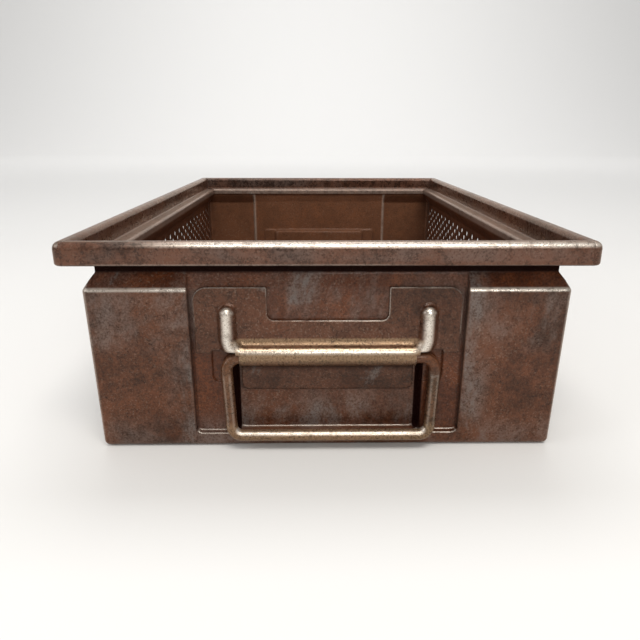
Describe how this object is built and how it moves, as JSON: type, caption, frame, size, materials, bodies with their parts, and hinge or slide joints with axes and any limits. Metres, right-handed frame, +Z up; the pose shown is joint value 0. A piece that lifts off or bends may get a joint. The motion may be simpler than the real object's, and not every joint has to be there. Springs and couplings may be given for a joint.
{
  "type": "stacking storage crate",
  "caption": "Tapered sheet-steel stacking crate with perforated long sides, a hollow stacking rim and a drop handle of round wire on each end.",
  "frame": {"origin": "middle of the base, on the surface the crate stands on", "axes": "+Z up, +Y along the long side from the front handle end to the rear handle end, +X to the right seen from the front"},
  "size_m": [0.3, 0.45, 0.13],
  "materials": {
    "tub_sheet": "brown lacquered patina over bare steel, semi-gloss",
    "side_sheet": "brown lacquered patina over perforated steel, semi-gloss",
    "rim_sheet": "brown-grey lacquered patina with worn bright edges",
    "plate_sheet": "brown lacquered patina with bronze worn crests",
    "handle_wire": "hand-worn bronze-brown steel wire"
  },
  "bodies": {
    "crate": {"floor_pan": "tub_sheet", "front_end_wall": "tub_sheet", "rear_end_wall": "tub_sheet", "left_side_wall": "side_sheet", "right_side_wall": "side_sheet", "front_rim": "rim_sheet", "rear_rim": "rim_sheet", "left_rim": "rim_sheet", "right_rim": "rim_sheet", "front_handle_plate": "plate_sheet", "rear_handle_plate": "plate_sheet"},
    "front_handle": {"front_handle": "handle_wire"},
    "rear_handle": {"rear_handle": "handle_wire"}
  },
  "joints": [
    {"name": "front_handle_swing", "type": "hinge", "parent": "crate", "child": "front_handle", "pos_m": [0, -0.2125, 0.059], "axis": [-1, 0, 0], "range_deg": [0, 100]},
    {"name": "rear_handle_swing", "type": "hinge", "parent": "crate", "child": "rear_handle", "pos_m": [0, 0.2125, 0.059], "axis": [1, 0, 0], "range_deg": [0, 100]}
  ]
}
